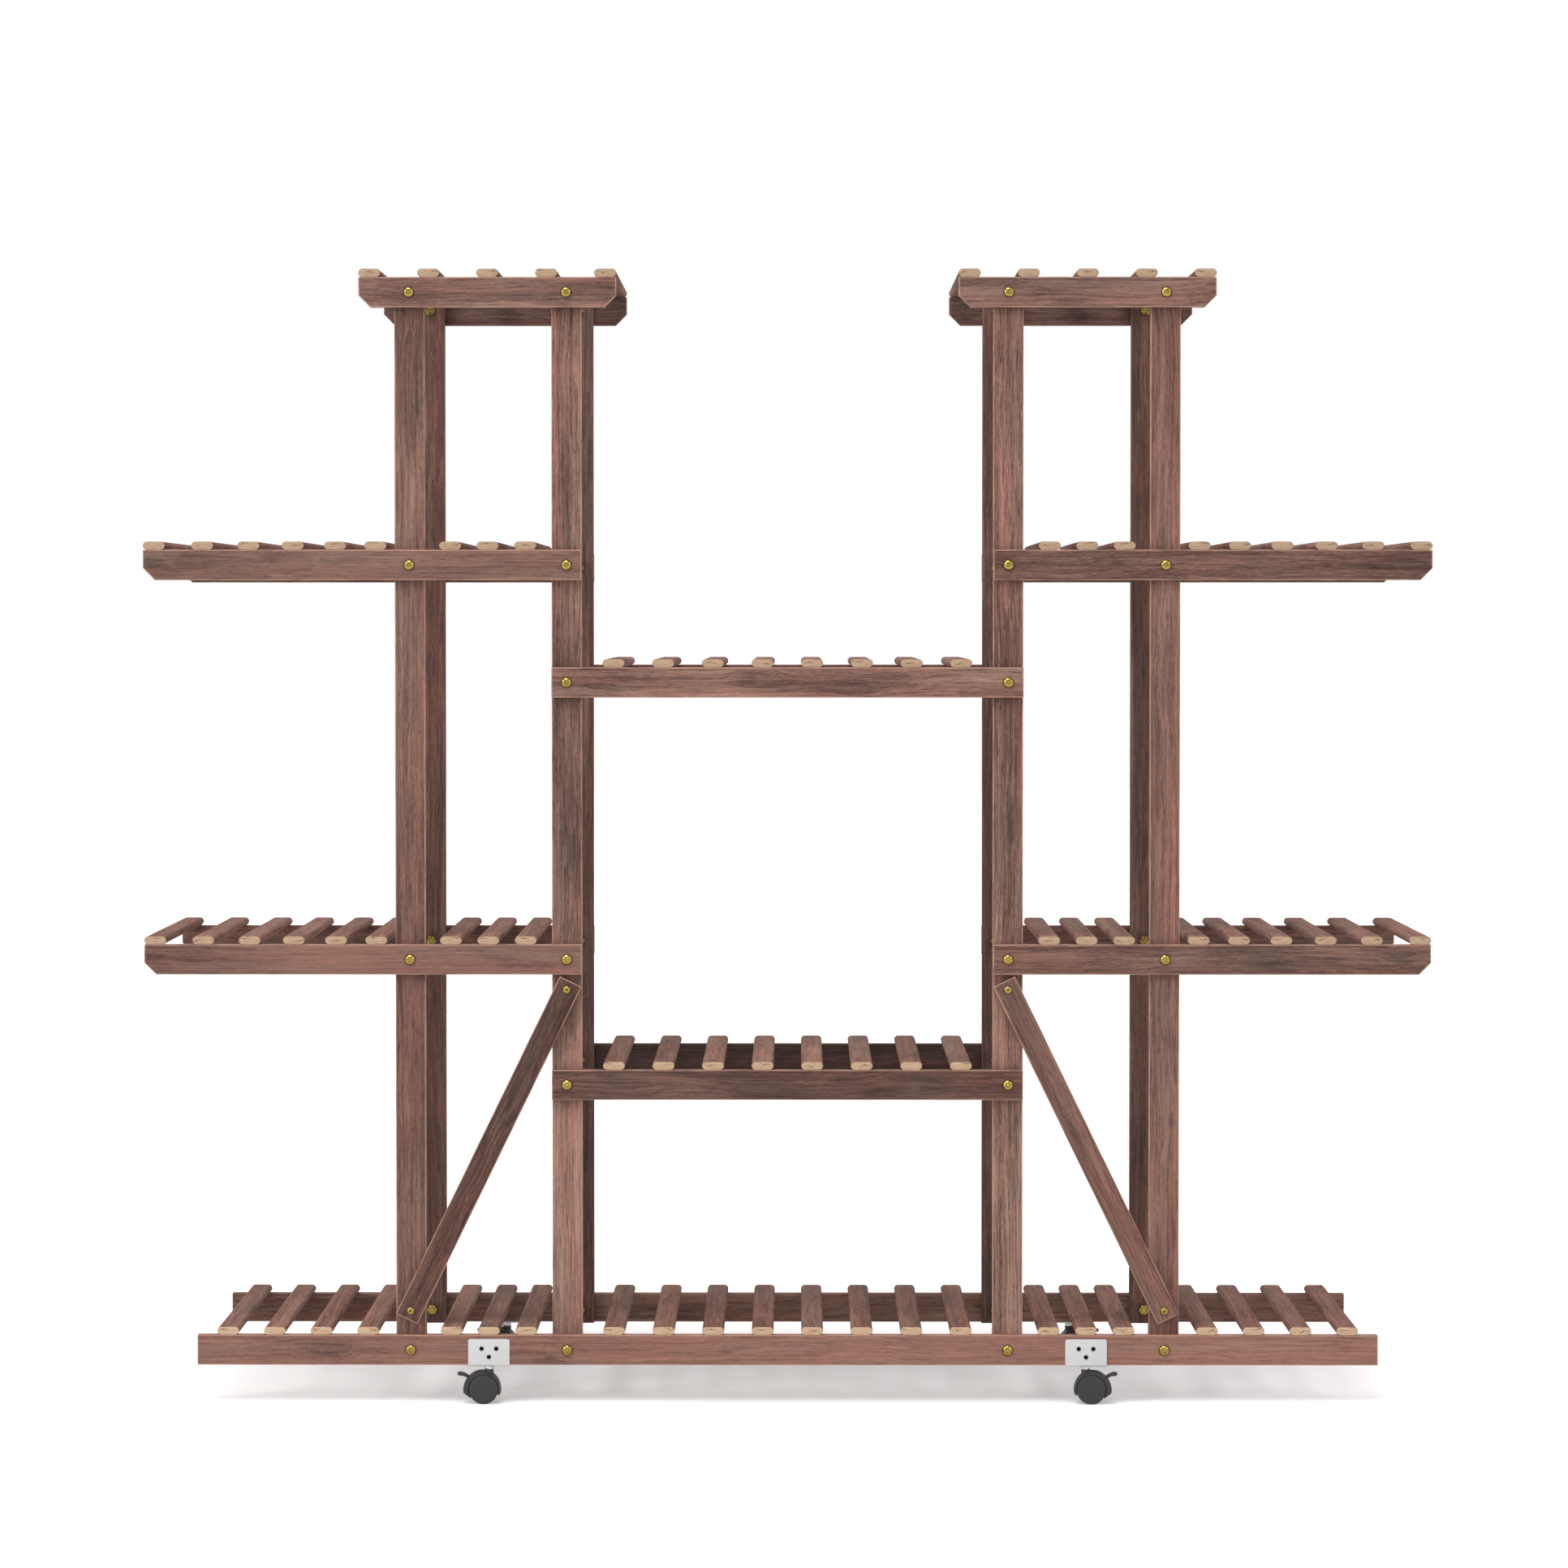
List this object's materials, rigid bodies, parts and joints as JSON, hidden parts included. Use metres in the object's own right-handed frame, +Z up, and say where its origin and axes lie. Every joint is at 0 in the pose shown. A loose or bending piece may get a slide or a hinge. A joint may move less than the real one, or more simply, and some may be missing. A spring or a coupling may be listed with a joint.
{
  "type": "plant stand",
  "caption": "Free-standing slatted wooden plant stand with two towers, stepped shelves, front braces and small swivel casters with brake levers.",
  "frame": {"origin": "on the floor under the middle of the stand, at the bottom centre of its box", "axes": "+X along the stand to the right seen from the front, +Y from the front to the back, +Z up"},
  "size_m": [1.3, 0.262, 1.1467],
  "materials": {
    "stained_board": "brown stain with worn pale edges",
    "stained_slat": "brown stain, bare pale end grain at the cut ends",
    "brass": "satin brass plating",
    "nail_steel": "bright wire",
    "bracket_sheet": "satin light grey",
    "black_screw": "black oxide",
    "plated_steel": "bright plated",
    "caster_plastic": "satin black nylon",
    "wheel_plastic": "satin dark grey nylon"
  },
  "bodies": {
    "frame": {"post_front_left_outer": "stained_board", "post_front_left_inner": "stained_board", "post_front_right_inner": "stained_board", "post_front_right_outer": "stained_board", "post_rear_left_outer": "stained_board", "post_rear_left_inner": "stained_board", "post_rear_right_inner": "stained_board", "post_rear_right_outer": "stained_board", "bottom_rail_front": "stained_board", "bottom_rail_rear": "stained_board", "mid_low_rail_front": "stained_board", "mid_low_rail_rear": "stained_board", "mid_high_rail_front": "stained_board", "mid_high_rail_rear": "stained_board", "side_low_rail_front_left": "stained_board", "side_low_rail_front_right": "stained_board", "side_low_rail_rear_left": "stained_board", "side_low_rail_rear_right": "stained_board", "side_high_rail_front_left": "stained_board", "side_high_rail_front_right": "stained_board", "side_high_rail_rear_left": "stained_board", "side_high_rail_rear_right": "stained_board", "top_rail_front_left": "stained_board", "top_rail_front_right": "stained_board", "top_rail_rear_left": "stained_board", "top_rail_rear_right": "stained_board", "bottom_slats": "stained_slat", "mid_low_slats": "stained_slat", "mid_high_slats": "stained_slat", "side_low_slats_left": "stained_slat", "side_low_slats_right": "stained_slat", "side_high_slats_left": "stained_slat", "side_high_slats_right": "stained_slat", "top_slats_left": "stained_slat", "top_slats_right": "stained_slat", "brace_left": "stained_board", "brace_right": "stained_board", "frame_bolts": "brass", "frame_nuts": "brass", "brace_screws": "brass", "slat_nails": "nail_steel", "caster_brackets": "bracket_sheet", "bracket_screws": "black_screw", "caster_stems": "plated_steel"},
    "caster_front_left": {"hood_front_left": "caster_plastic"},
    "wheels_front_left": {"wheels_front_left": "wheel_plastic", "axle_front_left": "plated_steel"},
    "brake_front_left": {"lever_front_left": "caster_plastic"},
    "caster_front_right": {"hood_front_right": "caster_plastic"},
    "wheels_front_right": {"wheels_front_right": "wheel_plastic", "axle_front_right": "plated_steel"},
    "brake_front_right": {"lever_front_right": "caster_plastic"},
    "caster_rear_left": {"hood_rear_left": "caster_plastic"},
    "wheels_rear_left": {"wheels_rear_left": "wheel_plastic", "axle_rear_left": "plated_steel"},
    "brake_rear_left": {"lever_rear_left": "caster_plastic"},
    "caster_rear_right": {"hood_rear_right": "caster_plastic"},
    "wheels_rear_right": {"wheels_rear_right": "wheel_plastic", "axle_rear_right": "plated_steel"},
    "brake_rear_right": {"lever_rear_right": "caster_plastic"}
  },
  "joints": [
    {"name": "front_left_swivel", "type": "hinge", "parent": "frame", "child": "caster_front_left", "pos_m": [-0.3022, -0.121, 0.03], "axis": [0, 0, 1], "continuous": true},
    {"name": "front_left_roll", "type": "hinge", "parent": "caster_front_left", "child": "wheels_front_left", "pos_m": [-0.3074, -0.121, 0.0148], "axis": [0, 1, 0], "continuous": true},
    {"name": "front_left_brake", "type": "hinge", "parent": "caster_front_left", "child": "brake_front_left", "pos_m": [-0.32155, -0.121, 0.02508], "axis": [0, -1, 0], "range_deg": [0, 28]},
    {"name": "front_right_swivel", "type": "hinge", "parent": "frame", "child": "caster_front_right", "pos_m": [0.3022, -0.121, 0.03], "axis": [0, 0, 1], "continuous": true},
    {"name": "front_right_roll", "type": "hinge", "parent": "caster_front_right", "child": "wheels_front_right", "pos_m": [0.3074, -0.121, 0.0148], "axis": [0, 1, 0], "continuous": true},
    {"name": "front_right_brake", "type": "hinge", "parent": "caster_front_right", "child": "brake_front_right", "pos_m": [0.32155, -0.121, 0.02508], "axis": [0, 1, 0], "range_deg": [0, 28]},
    {"name": "rear_left_swivel", "type": "hinge", "parent": "frame", "child": "caster_rear_left", "pos_m": [-0.3022, 0.121, 0.03], "axis": [0, 0, 1], "continuous": true},
    {"name": "rear_left_roll", "type": "hinge", "parent": "caster_rear_left", "child": "wheels_rear_left", "pos_m": [-0.3074, 0.121, 0.0148], "axis": [0, 1, 0], "continuous": true},
    {"name": "rear_left_brake", "type": "hinge", "parent": "caster_rear_left", "child": "brake_rear_left", "pos_m": [-0.32155, 0.121, 0.02508], "axis": [0, -1, 0], "range_deg": [0, 28]},
    {"name": "rear_right_swivel", "type": "hinge", "parent": "frame", "child": "caster_rear_right", "pos_m": [0.3022, 0.121, 0.03], "axis": [0, 0, 1], "continuous": true},
    {"name": "rear_right_roll", "type": "hinge", "parent": "caster_rear_right", "child": "wheels_rear_right", "pos_m": [0.3074, 0.121, 0.0148], "axis": [0, 1, 0], "continuous": true},
    {"name": "rear_right_brake", "type": "hinge", "parent": "caster_rear_right", "child": "brake_rear_right", "pos_m": [0.32155, 0.121, 0.02508], "axis": [0, 1, 0], "range_deg": [0, 28]}
  ]
}
